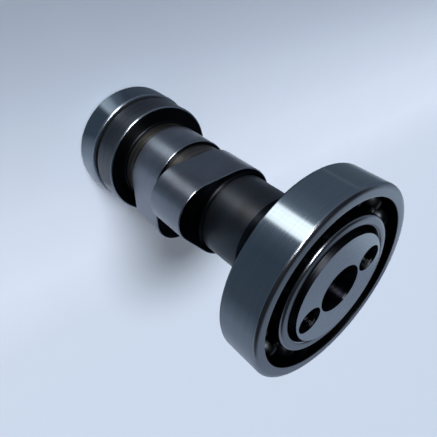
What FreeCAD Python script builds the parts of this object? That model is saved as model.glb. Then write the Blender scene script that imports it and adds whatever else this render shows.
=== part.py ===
# Camshaft of a small single-cylinder engine with its two open ball bearings, standing on its small end.
# The origin is the middle of the bottom face, +Z runs along the shaft to the nose that carries the
# timing sprocket, and +X runs through the nose's two tapped holes. All sizes are in millimetres.

import FreeCAD, Part
import math
import os

import Sketcher

# Driving sizes, one cell each

SIZES = {
    # steps of the shaft from the small end to the nose, by how far each one reaches along Z
    "journal_inset": 0.2,
    "thrust_step_length": 0.86,
    "flange_length": 6.94,
    "low_neck_length": 3.7,
    "low_lobe_length": 9.6,
    "mid_neck_length": 4.85,
    "high_lobe_length": 10.25,
    "shaft_length": 17.8,
    "shoulder_length": 1.5,
    "nose_proud": 0.76,
    # how far each step's surface stays inside the bearing or base circle beside it
    "thrust_step_relief": 0.2,
    "flange_relief": 0.5,
    "low_neck_relief": 0.43,
    "mid_neck_relief": 0.83,
    "shaft_relief": 1.33,
    "shoulder_relief": 1.2,
    # outline of both cam lobes, and where each nose points
    "base_circle_radius": 10.83,
    "nose_circle_radius": 7.14,
    "nose_circle_offset": 8.64,
    "low_lobe_angle": 226.0,
    "high_lobe_angle": 134.4,
    "lobe_edge_chamfer": 0.3,
    # corners of the shaft
    "flange_chamfer": 0.5,
    "nose_chamfer": 0.8,
    "journal_chamfer": 0.5,
    "lobe_root_fillet": 0.8,
    "shoulder_root_fillet": 1.5,
    # holes in the nose and in the small end; the tapped holes lie by the inset inside the middle of the
    # nose's wall, and the floor is the metal left between their ends and the shoulder's lower face
    "centre_hole_diameter": 9.6,
    "centre_hole_depth": 14.0,
    "tapped_hole_inset": 0.32,
    "tapped_hole_diameter": 4.2,
    "tapped_hole_mouth": 5.7,
    "tapped_hole_mouth_angle": 90.0,
    "tapped_hole_floor": 1.76,
    "drill_point_angle": 118.0,
    "lathe_centre_diameter": 4.0,
    "lathe_centre_angle": 60.0,
    # large ball bearing; its race wall is the metal behind each race, and the shoulder gaps are
    # measured from the circle of the ball centres
    "large_bore": 25.0,
    "large_race_wall": 1.87,
    "large_width": 9.0,
    "large_ball_diameter": 4.76,
    "large_ball_count": 13,
    "large_inner_shoulder_gap": 1.95,
    "large_outer_shoulder_gap": 1.62,
    "large_corner_axial": 0.7,
    "large_corner_radial": 1.1,
    "large_edge_chamfer": 0.2,
    "large_cage_width": 2.2,
    "large_cage_sheet": 0.5,
    "large_rivet_diameter": 0.8,
    # small ball bearing
    "small_bore": 17.0,
    "small_race_wall": 1.265,
    "small_width": 7.0,
    "small_ball_diameter": 3.97,
    "small_ball_count": 10,
    "small_inner_shoulder_gap": 1.35,
    "small_outer_shoulder_gap": 1.35,
    "small_corner_axial": 0.6,
    "small_corner_radial": 0.6,
    "small_edge_chamfer": 0.2,
    "small_cage_width": 1.8,
    "small_cage_sheet": 0.4,
    "small_rivet_diameter": 0.7,
    # clearances, the same in both bearings
    "race_clearance": 0.01,
    "race_to_ball_ratio": 0.52,
    "pocket_clearance": 0.05,
    "rivet_head_ratio": 1.8,
    "rivet_end_ratio": 1.5,
}

doc = FreeCAD.newDocument("camshaft")
sheet = doc.addObject("Spreadsheet::Sheet", "Sizes")
for row, (alias, number) in enumerate(SIZES.items(), start=1):
    sheet.set("A%d" % row, alias)
    sheet.set("B%d" % row, str(number))
    sheet.setAlias("B%d" % row, alias)
doc.recompute()

sub_parts = []


# Helpers

def cell(alias):
    """Expression for one cell of the sheet."""
    return "Sizes.%s" % alias


def bearing(name):
    """Sizes of one bearing: a function from what is asked to the expression for it."""
    return lambda what: cell("%s_%s" % (name, what))


def pitch_radius(size):
    """From the axis to the ball centres: the bore, the wall behind the inner race and half a ball."""
    return "(%s / 2 + %s + %s / 2)" % (size("bore"), size("race_wall"), size("ball_diameter"))


def outside_radius(size):
    """From the axis to the outside of the bearing."""
    return "(%s + %s / 2 + %s)" % (pitch_radius(size), size("ball_diameter"), size("race_wall"))


def shoulder_radius(size, which):
    """From the axis to the shoulder of the inner or outer ring."""
    sign = "+" if which == "outer" else "-"
    return "(%s %s %s)" % (pitch_radius(size), sign, size(which + "_shoulder_gap"))


def plane_of(body, role):
    """The body's own origin plane or axis with that role."""
    return next(f for f in body.Origin.OriginFeatures if f.Role == role)


def new_body(label):
    """An empty body for one sub-part."""
    body = doc.addObject("PartDesign::Body", label)
    body.Label = label
    sub_parts.append(body)
    return body


def new_sketch(body, name, role, height=None, turn=None):
    """A sketch on one of the body's origin planes, lifted and turned about the plane's normal if asked."""
    sketch = body.newObject("Sketcher::SketchObject", name)
    sketch.AttachmentSupport = [(plane_of(body, role), "")]
    sketch.MapMode = "FlatFace"
    if height:
        sketch.setExpression(".AttachmentOffset.Base.z", height)
    if turn:
        sketch.setExpression(".AttachmentOffset.Rotation.Angle", turn)
    return sketch


def bind(sketch, kind, places, expression, start=1.0):
    """Adds one dimension to a sketch and ties it to the sheet."""
    index = sketch.addConstraint(Sketcher.Constraint(kind, *places, start))
    sketch.setExpression("Constraints[%d]" % index, expression)


def closed_outline(sketch, corners):
    """Draws straight lines through corners given as pairs of expressions, each corner dimensioned from the origin."""
    count = len(corners)
    for i in range(count):
        here = FreeCAD.Vector(1 + i, 1 + i * i, 0)
        after = FreeCAD.Vector(1 + (i + 1) % count, 1 + ((i + 1) % count) ** 2, 0)
        sketch.addGeometry(Part.LineSegment(here, after))
    for i in range(count):
        sketch.addConstraint(Sketcher.Constraint("Coincident", i, 2, (i + 1) % count, 1))
    for i, (across, along) in enumerate(corners):
        bind(sketch, "DistanceX", (-1, 1, i, 1), across)
        bind(sketch, "DistanceY", (-1, 1, i, 1), along)


def circle(sketch, radius, across="0", along="0"):
    """Draws one circle with its centre and radius dimensioned."""
    index = sketch.addGeometry(Part.Circle(FreeCAD.Vector(1, 1, 0), FreeCAD.Vector(0, 0, 1), 1))
    bind(sketch, "DistanceX", (-1, 1, index, 3), across)
    bind(sketch, "DistanceY", (-1, 1, index, 3), along)
    bind(sketch, "Radius", (index,), radius)


def feature(body, kind, name, **settings):
    """Adds one feature to a body."""
    made = body.newObject("PartDesign::%s" % kind, name)
    for setting, what in settings.items():
        setattr(made, setting, what)
    return made


def turned(body, kind, name, sketch):
    """A full turn about Z, adding (Revolution) or cutting (Groove)."""
    axis = (plane_of(body, "Z_Axis"), [""])
    return feature(body, kind, name, Profile=sketch, ReferenceAxis=axis, Angle=360.0)


def numbered_edges(shape, radius):
    """Names of the shape's circular edges about Z with that radius, from the lowest up."""
    found = []
    for i, edge in enumerate(shape.Edges, start=1):
        curve = edge.Curve
        if isinstance(curve, Part.Circle) and abs(curve.Radius - radius) < 1e-4:
            if math.hypot(curve.Center.x, curve.Center.y) < 1e-4:
                found.append((curve.Center.z, "Edge%d" % i))
    return [name for height, name in sorted(found)]


# Camshaft, turned and ground from one casting

# Radius that each step of the shaft follows
FOLLOWED = {
    "thrust_step": shoulder_radius(bearing("small"), "inner"),
    "flange": outside_radius(bearing("small")),
    "low_neck": cell("base_circle_radius"),
    "mid_neck": cell("base_circle_radius"),
    "shaft": cell("base_circle_radius"),
    "shoulder": shoulder_radius(bearing("large"), "inner"),
}


def step_radius(step):
    """Expression for the radius of one step of the shaft: what it follows, less the step's relief."""
    return "%s - %s" % (FOLLOWED[step], cell(step + "_relief"))


def step_radius_now(step):
    """The same radius as a number, to find the step's edges by."""
    return float(sheet.evalExpression(step_radius(step)))


def stack_of_steps():
    """Heights where each step of the shaft begins and ends, as expressions, from the small bearing up."""
    bottoms = {}
    tops = {}
    reach = cell("small_width")
    for step in ("thrust_step", "flange", "low_neck", "low_lobe", "mid_neck", "high_lobe", "shaft", "shoulder"):
        bottoms[step] = reach
        reach = reach + " + " + cell(step + "_length")
        tops[step] = reach
    return bottoms, tops


def lobe(body, name, bottom):
    """One cam lobe: a base circle and a smaller nose circle joined by two straight flanks."""
    base = sheet.get("base_circle_radius")
    nose = sheet.get("nose_circle_radius")
    offset = sheet.get("nose_circle_offset")
    flank = math.acos((base - nose) / offset)
    up = FreeCAD.Vector(math.cos(flank), math.sin(flank), 0)
    down = FreeCAD.Vector(math.cos(flank), -math.sin(flank), 0)
    middle = FreeCAD.Vector(0, 0, 0)
    nose_middle = FreeCAD.Vector(offset, 0, 0)
    normal = FreeCAD.Vector(0, 0, 1)

    sketch = new_sketch(body, name + "_outline", "XY_Plane", bottom, cell(name + "_angle"))
    back = sketch.addGeometry(Part.ArcOfCircle(Part.Circle(middle, normal, base), flank, 2 * math.pi - flank))
    left = sketch.addGeometry(Part.LineSegment(up * base, nose_middle + up * nose))
    tip = sketch.addGeometry(Part.ArcOfCircle(Part.Circle(nose_middle, normal, nose), -flank, flank))
    right = sketch.addGeometry(Part.LineSegment(nose_middle + down * nose, down * base))
    sketch.addConstraint(Sketcher.Constraint("Coincident", back, 3, -1, 1))
    sketch.addConstraint(Sketcher.Constraint("PointOnObject", tip, 3, -1))
    sketch.addConstraint(Sketcher.Constraint("Tangent", back, 1, left, 1))
    sketch.addConstraint(Sketcher.Constraint("Tangent", left, 2, tip, 2))
    sketch.addConstraint(Sketcher.Constraint("Tangent", tip, 1, right, 1))
    sketch.addConstraint(Sketcher.Constraint("Tangent", right, 2, back, 2))
    bind(sketch, "DistanceX", (-1, 1, tip, 3), cell("nose_circle_offset"), offset)
    bind(sketch, "Radius", (back,), cell("base_circle_radius"), base)
    bind(sketch, "Radius", (tip,), cell("nose_circle_radius"), nose)
    pad = feature(body, "Pad", name, Profile=sketch)
    pad.setExpression("Length", cell(name + "_length"))
    return pad


def outline_edges(shape):
    """Names of the edges round both lobes' end faces: flat arcs and lines that keep outside the necks."""
    reach = (sheet.get("base_circle_radius") + step_radius_now("low_neck")) / 2
    names = []
    for i, edge in enumerate(shape.Edges, start=1):
        flat = edge.BoundBox.ZLength < 1e-4
        open_ended = len(edge.Vertexes) == 2
        nearest = min(math.hypot(v.Point.x, v.Point.y) for v in edge.Vertexes)
        if flat and open_ended and nearest > reach:
            names.append("Edge%d" % i)
    return names


def dress(body, kind, name, edges, expression):
    """Rounds or chamfers named edges of the body's last feature."""
    made = feature(body, kind, name, Base=(body.Tip, edges))
    made.setExpression("Radius" if kind == "Fillet" else "Size", expression)
    body.Tip = made
    doc.recompute()
    return made


def drill(body, name, level, places, diameter, depth, mouth=None):
    """Blind holes with a drill point, cut downwards from the nose's end face."""
    sketch = new_sketch(body, name + "_places", "XY_Plane", level)
    for across in places:
        circle(sketch, diameter + " / 2", across)
    doc.recompute()
    hole = feature(body, "Hole", name, Profile=sketch)
    hole.ThreadType = "None"
    hole.DepthType = "Dimension"
    hole.DrillPoint = "Angled"
    hole.setExpression("DrillPointAngle", cell("drill_point_angle"))
    hole.setExpression("Diameter", diameter)
    hole.setExpression("Depth", depth)
    if mouth:
        hole.HoleCutType = "Countersink"
        hole.HoleCutCustomValues = True
        hole.setExpression("HoleCutCountersinkAngle", cell("tapped_hole_mouth_angle"))
        hole.setExpression("HoleCutDiameter", mouth)
    body.Tip = hole
    doc.recompute()


def make_camshaft():
    """The shaft with its flange, two lobes, shoulder and drilled nose, all one piece."""
    body = new_body("camshaft")
    bottoms, tops = stack_of_steps()
    nose_top = tops["shoulder"] + " + Sizes.large_width + Sizes.nose_proud"
    steps = (
        ("Sizes.small_bore / 2", "Sizes.journal_inset", "Sizes.small_width"),
        (step_radius("thrust_step"), bottoms["thrust_step"], tops["thrust_step"]),
        (step_radius("flange"), bottoms["flange"], tops["flange"]),
        (step_radius("low_neck"), bottoms["low_neck"], tops["low_neck"]),
        (step_radius("mid_neck"), bottoms["low_lobe"], tops["mid_neck"]),
        (step_radius("shaft"), bottoms["high_lobe"], tops["shaft"]),
        (step_radius("shoulder"), bottoms["shoulder"], tops["shoulder"]),
        ("Sizes.large_bore / 2", tops["shoulder"], nose_top),
    )
    corners = [("0", "Sizes.journal_inset")]
    for radius, bottom, top in steps:
        corners += [(radius, bottom), (radius, top)]
    corners.append(("0", nose_top))
    profile = new_sketch(body, "shaft_profile", "XZ_Plane")
    closed_outline(profile, corners)
    turned(body, "Revolution", "turned_shaft", profile)
    lobe(body, "low_lobe", bottoms["low_lobe"])
    lobe(body, "high_lobe", bottoms["high_lobe"])
    doc.recompute()

    # ground edges of the lobes, rounded roots beside them and under the large bearing's shoulder
    dress(body, "Chamfer", "lobe_edges", outline_edges(body.Shape), cell("lobe_edge_chamfer"))
    root = numbered_edges(body.Shape, step_radius_now("shaft"))[:1]
    dress(body, "Fillet", "high_lobe_root", root, cell("lobe_root_fillet"))
    root = numbered_edges(body.Shape, step_radius_now("shaft"))[-1:]
    dress(body, "Fillet", "shoulder_root", root, cell("shoulder_root_fillet"))

    # chamfers on the flange, the nose and the small journal
    flange = numbered_edges(body.Shape, step_radius_now("flange"))
    dress(body, "Chamfer", "flange_edges", flange, cell("flange_chamfer"))
    nose = numbered_edges(body.Shape, sheet.get("large_bore") / 2)[-1:]
    dress(body, "Chamfer", "nose_edge", nose, cell("nose_chamfer"))
    journal = numbered_edges(body.Shape, sheet.get("small_bore") / 2)[:1]
    dress(body, "Chamfer", "journal_edge", journal, cell("journal_chamfer"))

    # drilled centre, two holes tapped for the sprocket's screws, and the lathe centre in the small end
    drill(body, "centre_hole", nose_top, ["0"], cell("centre_hole_diameter"), cell("centre_hole_depth"))
    across = "((%s + %s) / 4 - %s)" % (cell("centre_hole_diameter"), cell("large_bore"), cell("tapped_hole_inset"))
    depth = "Sizes.shoulder_length + Sizes.large_width + Sizes.nose_proud - Sizes.tapped_hole_floor"
    tapped = (cell("tapped_hole_diameter"), depth, cell("tapped_hole_mouth"))
    drill(body, "tapped_holes", nose_top, [across, "-" + across], *tapped)
    centre = new_sketch(body, "lathe_centre_profile", "XZ_Plane")
    radius = cell("lathe_centre_diameter") + " / 2"
    depth = radius + " / tan(Sizes.lathe_centre_angle * 0.5 deg)"
    floor = cell("journal_inset")
    closed_outline(centre, [("0", floor), (radius, floor), ("0", floor + " + " + depth)])
    turned(body, "Groove", "lathe_centre", centre)
    return tops["shoulder"]


# Open ball bearing: two grooved rings, balls, and a ribbon cage pressed in two halves and riveted

def race_radius(size):
    """Radius of the groove that the balls roll in."""
    return size("ball_diameter") + " * Sizes.race_to_ball_ratio"


def ring(label, size, outline, race_centre, height):
    """A turned ring with the ball race cut into it, drawn about the bearing's middle and lifted into place."""
    body = new_body(label)
    profile = new_sketch(body, label + "_profile", "XZ_Plane")
    closed_outline(profile, outline)
    turned(body, "Revolution", label + "_turned", profile)
    race = new_sketch(body, label + "_race_circle", "XZ_Plane")
    circle(race, race_radius(size), race_centre)
    turned(body, "Groove", label + "_race", race)
    body.setExpression(".Placement.Base.z", height)


def outer_ring(name, size, height):
    """The outer ring, with rounded-off corners outside and a small chamfer at its shoulders."""
    half = size("width") + " / 2"
    outside = outside_radius(size)
    shoulder = shoulder_radius(size, "outer")
    edge = size("edge_chamfer")
    axial = size("corner_axial")
    radial = size("corner_radial")
    upper = [
        (shoulder, "%s - %s" % (half, edge)),
        ("%s + %s" % (shoulder, edge), half),
        ("%s - %s" % (outside, radial), half),
        (outside, "%s - %s" % (half, axial)),
    ]
    lower = [(across, "-(%s)" % along) for across, along in reversed(upper)]
    grip = pitch_radius(size) + " + " + size("ball_diameter") + " / 2 + Sizes.race_clearance"
    ring(name + "_outer_ring", size, upper + lower, "%s - %s" % (grip, race_radius(size)), height)


def inner_ring(name, size, height):
    """The inner ring, chamfered at its bore and its shoulders."""
    half = size("width") + " / 2"
    bore = size("bore") + " / 2"
    shoulder = shoulder_radius(size, "inner")
    edge = size("edge_chamfer")
    corner = size("corner_axial")
    upper = [
        (bore, "%s - %s" % (half, corner)),
        ("%s + %s" % (bore, corner), half),
        ("%s - %s" % (shoulder, edge), half),
        (shoulder, "%s - %s" % (half, edge)),
    ]
    lower = [(across, "-(%s)" % along) for across, along in reversed(upper)]
    grip = pitch_radius(size) + " - " + size("ball_diameter") + " / 2 - Sizes.race_clearance"
    ring(name + "_inner_ring", size, upper + lower, "%s + %s" % (grip, race_radius(size)), height)


def pattern(body, name, originals, count):
    """Repeats features evenly round Z."""
    made = feature(body, "PolarPattern", name, Originals=originals, Angle=360.0)
    made.Axis = (plane_of(body, "Z_Axis"), [""])
    made.setExpression("Occurrences", count)
    body.Tip = made
    doc.recompute()


def cage_half(label, size, height, turned_over):
    """One pressed half of the ribbon: a flat ring with a hollow bump over each ball and a rivet hole between."""
    body = new_body(label)
    pitch = pitch_radius(size)
    width = size("cage_width")
    sheet_metal = size("cage_sheet")
    ball = size("ball_diameter") + " / 2"
    hollow = ball + " + Sizes.pocket_clearance"
    inside = "%s - %s / 2" % (pitch, width)
    outside = "%s + %s / 2" % (pitch, width)

    flat = new_sketch(body, label + "_ring", "XY_Plane")
    circle(flat, inside)
    circle(flat, outside)
    base = feature(body, "Pad", label + "_flat", Profile=flat)
    base.setExpression("Length", sheet_metal)

    bump = new_sketch(body, label + "_bump_outline", "YZ_Plane", inside)
    half_disc(bump, "%s + %s" % (hollow, sheet_metal))
    raised = feature(body, "Pad", label + "_bump", Profile=bump)
    raised.setExpression("Length", width)
    doc.recompute()
    pattern(body, label + "_bumps", [raised], size("ball_count"))

    opening = new_sketch(body, label + "_pocket_outline", "YZ_Plane", "%s - %s" % (inside, ball))
    circle(opening, hollow)
    pocket = feature(body, "Pocket", label + "_pocket", Profile=opening, Reversed=True)
    pocket.setExpression("Length", "%s + 2 * %s" % (width, ball))
    doc.recompute()
    pattern(body, label + "_pockets", [pocket], size("ball_count"))

    between = "180 deg / %s" % size("ball_count")
    place = new_sketch(body, label + "_rivet_place", "XY_Plane")
    circle(place, size("rivet_diameter") + " / 2", "%s * cos(%s)" % (pitch, between), "%s * sin(%s)" % (pitch, between))
    hole = feature(body, "Pocket", label + "_rivet_hole", Profile=place, Reversed=True)
    hole.Type = "ThroughAll"
    doc.recompute()
    pattern(body, label + "_rivet_holes", [hole], size("ball_count"))

    body.setExpression(".Placement.Base.z", height)
    if turned_over:
        body.Placement.Rotation = FreeCAD.Rotation(FreeCAD.Vector(1, 0, 0), 180)


def half_disc(sketch, radius):
    """The upper half of a disc, flat side on the sketch's horizontal axis."""
    start = 1.0
    middle = FreeCAD.Vector(0, 0, 0)
    whole = Part.Circle(middle, FreeCAD.Vector(0, 0, 1), start)
    arc = sketch.addGeometry(Part.ArcOfCircle(whole, 0, math.pi))
    base = sketch.addGeometry(Part.LineSegment(FreeCAD.Vector(-start, 0, 0), FreeCAD.Vector(start, 0, 0)))
    sketch.addConstraint(Sketcher.Constraint("Coincident", arc, 3, -1, 1))
    sketch.addConstraint(Sketcher.Constraint("Coincident", arc, 1, base, 2))
    sketch.addConstraint(Sketcher.Constraint("Coincident", arc, 2, base, 1))
    sketch.addConstraint(Sketcher.Constraint("PointOnObject", arc, 1, -1))
    sketch.addConstraint(Sketcher.Constraint("PointOnObject", arc, 2, -1))
    bind(sketch, "Radius", (arc,), radius, start)


def rivets(label, size, height):
    """The rivets that hold the two halves together, a head on each side of the ribbon."""
    body = new_body(label)
    body.AllowCompound = True
    pitch = pitch_radius(size)
    shank = size("rivet_diameter") + " / 2"
    head = shank + " * Sizes.rivet_head_ratio"
    grip = size("cage_sheet")
    end = grip + " * Sizes.rivet_end_ratio"
    top = [("0", end), (head, end), (head, grip), (shank, grip)]
    bottom = [(across, "-(%s)" % along) for across, along in reversed(top)]
    outline = [("%s + %s" % (pitch, across), along) for across, along in top + bottom]
    profile = new_sketch(body, label + "_profile", "XZ_Plane")
    closed_outline(profile, outline)
    axis = profile.addGeometry(Part.LineSegment(FreeCAD.Vector(1, -1, 0), FreeCAD.Vector(1, 1, 0)), True)
    profile.addConstraint(Sketcher.Constraint("Vertical", axis))
    bind(profile, "DistanceX", (-1, 1, axis, 1), pitch)
    bind(profile, "DistanceY", (-1, 1, axis, 1), "-(%s)" % end)
    bind(profile, "DistanceY", (-1, 1, axis, 2), end)
    one = feature(body, "Revolution", label + "_one", Profile=profile, Angle=360.0)
    one.ReferenceAxis = (profile, ["Axis0"])
    doc.recompute()
    pattern(body, label + "_all", [one], size("ball_count"))
    body.setExpression(".Placement.Base.z", height)
    body.setExpression(".Placement.Rotation.Angle", "180 deg / %s" % size("ball_count"))


def balls(name, size, height):
    """The balls, one sub-part each, evenly round the pitch circle."""
    pitch = pitch_radius(size)
    for i in range(int(sheet.get(name + "_ball_count"))):
        ball = doc.addObject("Part::Sphere", "%s_ball_%02d" % (name, i + 1))
        ball.Label = ball.Name
        turn = "%d * 360 deg / %s" % (i, size("ball_count"))
        ball.setExpression("Radius", size("ball_diameter") + " / 2")
        ball.setExpression(".Placement.Base.x", "%s * cos(%s)" % (pitch, turn))
        ball.setExpression(".Placement.Base.y", "%s * sin(%s)" % (pitch, turn))
        ball.setExpression(".Placement.Base.z", height)
        sub_parts.append(ball)


def make_bearing(name, seat):
    """All pieces of one bearing whose lower side is at the height seat."""
    size = bearing(name)
    height = "%s + %s / 2" % (seat, size("width"))
    outer_ring(name, size, height)
    inner_ring(name, size, height)
    cage_half(name + "_cage_front", size, height, False)
    cage_half(name + "_cage_back", size, height, True)
    rivets(name + "_cage_rivets", size, height)
    balls(name, size, height)


large_seat = make_camshaft()
make_bearing("large", large_seat)
make_bearing("small", "0")
doc.recompute()

# Nothing is written unless every feature and every piece is sound

for thing in doc.Objects:
    if "Invalid" in thing.State or "Error" in thing.State:
        raise RuntimeError("%s did not build: %s" % (thing.Name, thing.State))
for piece in sub_parts:
    if piece.Shape.isNull() or not piece.Shape.isValid():
        raise RuntimeError("%s has no sound shape" % piece.Label)

os.makedirs("parts", exist_ok=True)
for piece in sub_parts:
    piece.Shape.exportStep("parts/%s.step" % piece.Label)
    print("%-22s %9.2f mm3" % (piece.Label, piece.Shape.Volume))
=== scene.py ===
# %% [markdown]
# # A camshaft with its two ball bearings
#
# This lesson dresses the camshaft of a small engine. It stands on its small end, the way it would be
# put down on a bench so that it can't roll, and the camera looks down on the nose that carries the
# timing sprocket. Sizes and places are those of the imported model. The meshes made here add what a
# plain solid lacks: ground edges, screw threads, pressed cages, and steel that shows how it was
# finished.

# %% Load the frame
import math

import bmesh
import bpy
from mathutils import Matrix, Vector


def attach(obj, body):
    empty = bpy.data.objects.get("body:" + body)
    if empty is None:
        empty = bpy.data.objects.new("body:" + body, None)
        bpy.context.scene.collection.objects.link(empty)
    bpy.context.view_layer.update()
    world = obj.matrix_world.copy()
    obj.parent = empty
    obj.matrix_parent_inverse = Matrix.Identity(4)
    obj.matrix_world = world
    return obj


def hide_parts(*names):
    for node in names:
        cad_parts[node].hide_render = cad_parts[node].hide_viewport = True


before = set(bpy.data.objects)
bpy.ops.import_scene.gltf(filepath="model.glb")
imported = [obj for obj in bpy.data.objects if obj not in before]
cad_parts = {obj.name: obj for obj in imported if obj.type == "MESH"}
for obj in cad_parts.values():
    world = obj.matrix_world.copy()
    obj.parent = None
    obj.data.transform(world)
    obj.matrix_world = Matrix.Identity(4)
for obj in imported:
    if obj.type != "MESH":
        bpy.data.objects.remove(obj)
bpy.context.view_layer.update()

MM = 0.001


# %% [markdown]
# ## Turned pieces
#
# Almost everything here was made on a lathe or a grinder, so one helper does most of the work: it
# takes a section as (radius, height) corners and turns it round Z. A real edge is never knife sharp,
# and the thin bright line along it is what makes steel look like steel. So each corner may name a
# rounding, which is drawn as a short arc in the section before it is turned. A Bevel modifier could
# round the edges too, but an arc in the section keeps the turned mesh even all the way round.

# %% Sections with rounded corners
ARC_STEPS = 6
ON_AXIS = 1e-6
TURN_STEPS = 192


def rounded(corners):
    """Section points in mm from (radius, height, rounding) corners, each rounding drawn as an arc."""
    points = []
    count = len(corners)
    for i, (across, along, rounding) in enumerate(corners):
        here = Vector((across, along))
        if rounding == 0:
            points.append(here)
            continue
        before = (Vector(corners[i - 1][:2]) - here).normalized()
        after = (Vector(corners[(i + 1) % count][:2]) - here).normalized()
        half = before.angle(after) / 2
        reach = rounding / math.tan(half)
        middle = here + (before + after).normalized() * rounding / math.sin(half)
        first = here + before * reach - middle
        turn = first.angle_signed(here + after * reach - middle)
        for step in range(ARC_STEPS + 1):
            points.append(middle + Matrix.Rotation(-turn * step / ARC_STEPS, 2) @ first)
    return points


def mesh_object(name, build, material=None):
    """Makes an object from a bmesh that build fills in, in mm."""
    bm = bmesh.new()
    build(bm)
    bmesh.ops.recalc_face_normals(bm, faces=bm.faces)
    bmesh.ops.scale(bm, vec=(MM, MM, MM), verts=bm.verts)
    mesh = bpy.data.meshes.new(name)
    bm.to_mesh(mesh)
    bm.free()
    piece = bpy.data.objects.new(name, mesh)
    bpy.context.scene.collection.objects.link(piece)
    if material:
        mesh.materials.append(material)
    return piece


def turn_section(bm, points, steps, closed=True):
    """Turns section points round Z. A point on the axis becomes one vertex."""
    rows = []
    for across, along in points:
        if abs(across) < ON_AXIS:
            rows.append([bm.verts.new((0, 0, along))])
            continue
        row = []
        for step in range(steps):
            angle = 2 * math.pi * step / steps
            row.append(bm.verts.new((across * math.cos(angle), across * math.sin(angle), along)))
        rows.append(row)
    pairs = list(zip(rows, rows[1:] + rows[:1])) if closed else list(zip(rows, rows[1:]))
    for low, high in pairs:
        for step in range(steps):
            after = (step + 1) % steps
            corner = [low[step % len(low)], low[after % len(low)],
                      high[after % len(high)], high[step % len(high)]]
            kept = list(dict.fromkeys(corner))
            if len(kept) > 2:
                bm.faces.new(kept)


def arc(middle, radius, start, end, steps):
    """Section points along an arc, angles in degrees from the radius axis."""
    turns = [math.radians(start + (end - start) * i / steps) for i in range(steps + 1)]
    return [Vector((middle[0] + radius * math.cos(t), middle[1] + radius * math.sin(t))) for t in turns]


def finish_mesh(piece, sharp=32.0):
    """Applies the modifiers, smooths every face and keeps edges over the angle sharp."""
    graph = bpy.context.evaluated_depsgraph_get()
    mesh = bpy.data.meshes.new_from_object(piece.evaluated_get(graph), depsgraph=graph)
    old = piece.data
    piece.modifiers.clear()
    piece.data = mesh
    mesh.name = piece.name
    if old.users == 0:
        bpy.data.meshes.remove(old)
    mesh.polygons.foreach_set("use_smooth", [True] * len(mesh.polygons))
    mesh.set_sharp_from_angle(angle=math.radians(sharp))
    even = piece.modifiers.new("even shading", "WEIGHTED_NORMAL")
    even.keep_sharp = True


def settle(piece, body, slot, *nodes):
    """Puts a finished piece in the place of its CAD nodes, on the body that carries it."""
    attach(piece, body)
    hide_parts(*nodes)
    size = [round(d / MM, 2) for d in piece.dimensions]
    print(piece.name, "faces:", len(piece.data.polygons), "size in mm:", size)


# %% [markdown]
# ## Steel, ground and turned
#
# Steel from a grinder carries fine lines that run round the piece. Two things show them. The lines
# catch light unevenly, so brightness and gloss change from line to line, and the highlight is pulled
# out across them, which a shader calls anisotropy. The lines could be drawn in an image wrapped round
# the piece, but a noise that reads position works on any turned shape with no unwrapping: it hardly
# changes with the angle round Z and changes fast along the height and the radius.

# %% Shader helpers
def new_material(name):
    """An empty material with a Principled surface, as (material, nodes, links, surface)."""
    material = bpy.data.materials.new(name)
    material.use_nodes = True
    nodes = material.node_tree.nodes
    return material, nodes, material.node_tree.links, nodes["Principled BSDF"]


def math_node(nodes, links, operation, first, second=None):
    """One Math node. A number is typed in and anything else is linked."""
    node = nodes.new("ShaderNodeMath")
    node.operation = operation
    for socket, value in zip(node.inputs, (first, second)):
        if value is None:
            continue
        if isinstance(value, (int, float)):
            socket.default_value = value
        else:
            links.new(value, socket)
    return node.outputs[0]


def ramp(nodes, links, factor, stops):
    """A colour ramp from (position, grey or colour) stops."""
    node = nodes.new("ShaderNodeValToRGB")
    band = node.color_ramp
    while len(band.elements) < len(stops):
        band.elements.new(0.5)
    for element, (position, colour) in zip(band.elements, stops):
        element.position = position
        grey = isinstance(colour, (int, float))
        element.color = (colour, colour, colour, 1) if grey else (*colour, 1)
    links.new(factor, node.inputs[0])
    return node.outputs[0]


def mixed(nodes, links, factor, first, second):
    """Mixes two colours, each a triple or a socket, by a linked factor."""
    node = nodes.new("ShaderNodeMix")
    node.data_type = "RGBA"
    sockets = [s for s in node.inputs if s.name in ("A", "B") and s.type == "RGBA"]
    for socket, value in zip(sockets, (first, second)):
        if isinstance(value, tuple):
            socket.default_value = (*value, 1)
        else:
            links.new(value, socket)
    links.new(factor, node.inputs[0])
    return next(s for s in node.outputs if s.type == "RGBA")


def noise(nodes, links, vector, scale, detail, rough, extra=None):
    """A noise from 0 to 1. With extra it is four-dimensional and extra is the fourth place."""
    node = nodes.new("ShaderNodeTexNoise")
    node.inputs["Scale"].default_value = scale
    node.inputs["Detail"].default_value = detail
    node.inputs["Roughness"].default_value = rough
    links.new(vector, node.inputs["Vector"])
    if extra is not None:
        node.noise_dimensions = "4D"
        links.new(extra, node.inputs["W"])
    return node.outputs["Fac"]


CHANGE_IN_A_TURN = 0.35


def round_z(nodes, links):
    """Places for lines that run round Z, as (place, vector, height in mm). The vector changes with the radius
    and only slowly with the angle."""
    place = nodes.new("ShaderNodeTexCoord").outputs["Object"]
    apart = nodes.new("ShaderNodeSeparateXYZ")
    links.new(place, apart.inputs[0])
    across, deep, height = apart.outputs
    square = math_node(nodes, links, "ADD", math_node(nodes, links, "MULTIPLY", across, across),
                       math_node(nodes, links, "MULTIPLY", deep, deep))
    radius = math_node(nodes, links, "SQRT", square)
    joined = nodes.new("ShaderNodeCombineXYZ")
    for socket, side in zip(joined.inputs, (across, deep)):
        share = math_node(nodes, links, "DIVIDE", side, radius)
        links.new(math_node(nodes, links, "MULTIPLY", share, CHANGE_IN_A_TURN), socket)
    links.new(math_node(nodes, links, "MULTIPLY", radius, 1 / MM), joined.inputs[2])
    return place, joined.outputs[0], math_node(nodes, links, "MULTIPLY", height, 1 / MM)


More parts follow.
